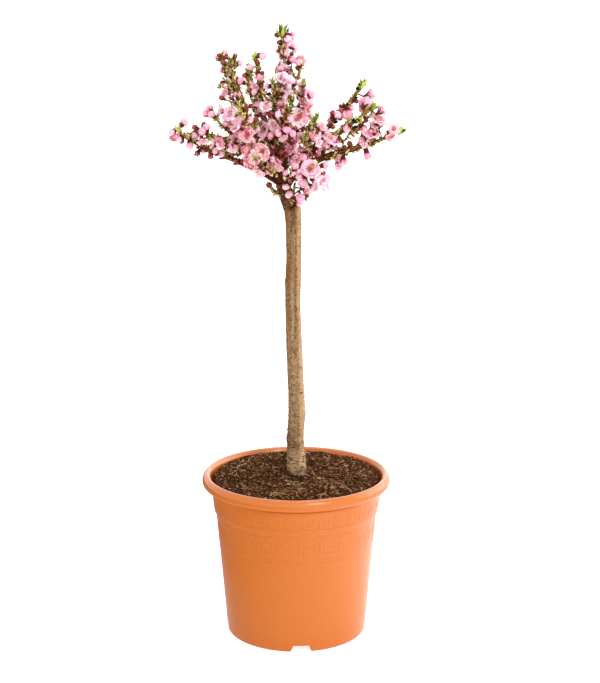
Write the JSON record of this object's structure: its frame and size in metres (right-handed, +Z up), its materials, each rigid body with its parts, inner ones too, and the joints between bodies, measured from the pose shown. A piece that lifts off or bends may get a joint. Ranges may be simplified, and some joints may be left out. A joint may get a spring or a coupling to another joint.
{
  "type": "potted dwarf nectarine tree",
  "caption": "Small nectarine tree on a clear stem, with a rounded crown of pink blossom and leaf tufts, growing in a terracotta-coloured plastic pot filled with compost.",
  "frame": {"origin": "on the ground, in the middle of the whole plant's bounding box seen from above; the pot's axis stands 8 mm towards +X of it", "axes": "+Z up along the trunk, +Y away from the side that the picture shows, +X to that viewer's right"},
  "size_m": [0.2681, 0.223, 0.7071],
  "materials": {
    "terracotta_plastic": "moulded terracotta-coloured plastic, low sheen, faint raised key-pattern bands",
    "compost": "dark fibrous peat-like compost with pale chips",
    "trunk_bark": "grey-brown bark, fine cross wrinkles, small knots",
    "young_bark": "brown young bark turning green towards the tips",
    "blossom": "soft pink petals, red-brown calyces, fresh green leaf tufts"
  },
  "bodies": {
    "root": {"pot": "terracotta_plastic", "compost": "compost", "trunk": "trunk_bark", "bough_leader": "young_bark", "bough_far_left": "young_bark", "bough_far_right": "young_bark", "bough_front": "young_bark", "bough_back": "young_bark", "bough_upper_left": "young_bark", "bough_mid_left": "young_bark", "bough_inner_left": "young_bark", "bough_upper_right": "young_bark", "bough_left_high": "young_bark", "bough_left_front": "young_bark", "bough_front_left": "young_bark", "bough_right_front": "young_bark", "bough_right_high": "young_bark", "bough_right_mid": "young_bark", "bough_low_front_left": "young_bark", "bough_low_front_right": "young_bark", "bough_back_left": "young_bark", "bough_back_right": "young_bark", "bough_back_high": "young_bark", "shoot_leader": "blossom", "shoot_far_left": "blossom", "shoot_far_right": "blossom", "shoot_front": "blossom", "shoot_back": "blossom", "shoot_upper_left": "blossom", "shoot_mid_left": "blossom", "shoot_inner_left": "blossom", "shoot_upper_right": "blossom", "shoot_left_high": "blossom", "shoot_left_front": "blossom", "shoot_front_left": "blossom", "shoot_right_front": "blossom", "shoot_right_high": "blossom", "shoot_right_mid": "blossom", "shoot_low_front_left": "blossom", "shoot_low_front_right": "blossom", "shoot_back_left": "blossom", "shoot_back_right": "blossom", "shoot_back_high": "blossom", "shoot_spur_right": "blossom", "shoot_spur_left": "blossom", "shoot_spur_front": "blossom", "shoot_spur_back": "blossom"}
  },
  "joints": []
}
